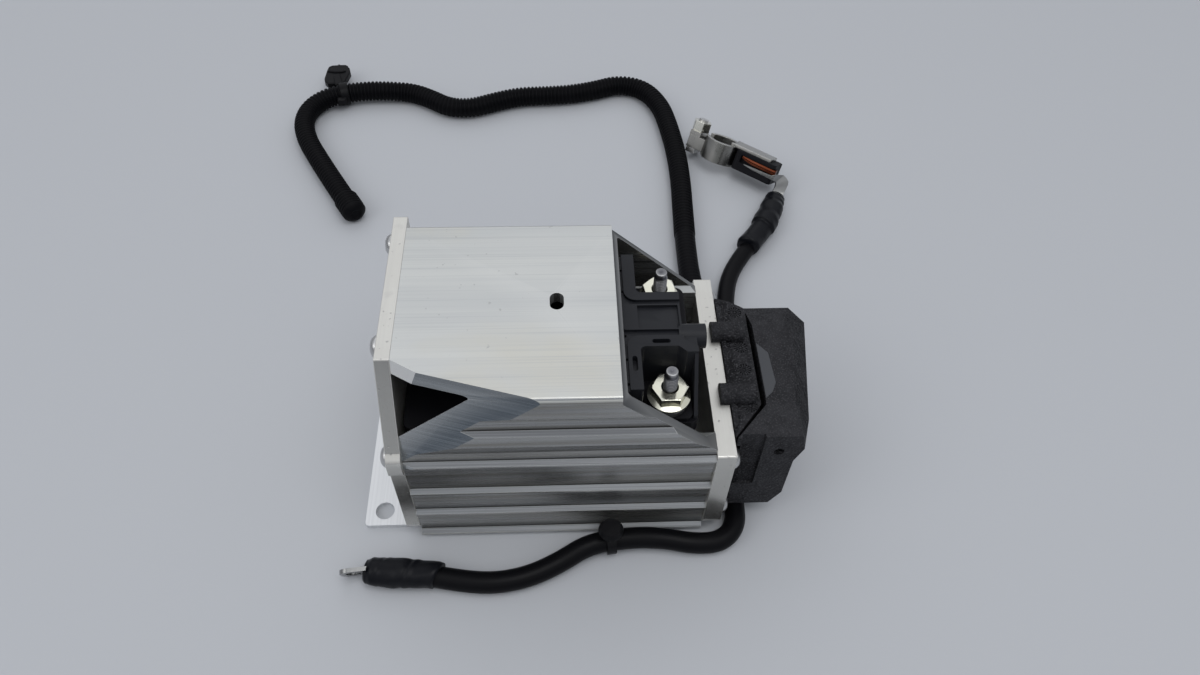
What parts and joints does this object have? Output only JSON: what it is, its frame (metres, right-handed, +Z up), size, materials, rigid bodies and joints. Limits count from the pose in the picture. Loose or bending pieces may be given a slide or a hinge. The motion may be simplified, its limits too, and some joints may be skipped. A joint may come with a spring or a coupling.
{
  "type": "car auxiliary battery",
  "caption": "Auxiliary vehicle battery in a ribbed aluminium tube with end plates, stud terminals, foam guard, ring cable, corrugated conduit and pole clamp cable.",
  "frame": {"origin": "axis of the base plate's front fixing hole, on the surface that the part stands on", "axes": "+X along the housing from the base plate's free end to the terminals and foam guard, +Y to the back, where the long cables leave, +Z up"},
  "size_m": [0.3079, 0.3732, 0.1064],
  "materials": {
    "extruded_aluminium": "matt drawn aluminium",
    "milled_aluminium": "satin milled aluminium",
    "sheet_aluminium": "satin sheet",
    "screw_steel": "dull zinc",
    "plated_steel": "bright zinc plating",
    "terminal_metal": "dull grey thread",
    "case_plastic": "fine matt",
    "cover_plastic": "satin moulded",
    "foam": "beaded foam",
    "conduit_plastic": "ribbed satin",
    "cable_jacket": "satin",
    "shrink_sleeve": "satin",
    "rubber": "matt",
    "clip_plastic": "smooth",
    "tinned_copper": "tinned",
    "tinned_brass": "dull tin",
    "bare_copper": "copper strip"
  },
  "bodies": {
    "root": {"housing_tube": "extruded_aluminium", "left_end_plate": "milled_aluminium", "right_end_plate": "milled_aluminium", "base_plate": "sheet_aluminium", "left_plate_screws": "screw_steel", "right_plate_screws": "screw_steel", "battery_case": "case_plastic", "front_terminal_stud": "terminal_metal", "back_terminal_stud": "terminal_metal", "front_flange_nut": "plated_steel", "back_flange_nut": "plated_steel", "terminal_cover": "cover_plastic", "foam_cap": "foam", "foam_guard": "foam", "cable_entry": "case_plastic", "conduit": "conduit_plastic", "conduit_bush": "rubber", "conduit_clip": "clip_plastic", "front_cable": "cable_jacket", "cable_clip": "clip_plastic", "front_cable_sleeve": "shrink_sleeve", "front_ring_tongue": "tinned_copper", "sensor_cable": "cable_jacket", "sensor_cable_sleeve": "shrink_sleeve", "sensor_lug": "tinned_copper", "sensor_shunt": "bare_copper", "sensor_module": "case_plastic", "pole_clamp": "tinned_brass", "clamp_wedge": "tinned_brass", "clamp_bolt": "plated_steel", "clamp_nut": "plated_steel"}
  },
  "joints": []
}
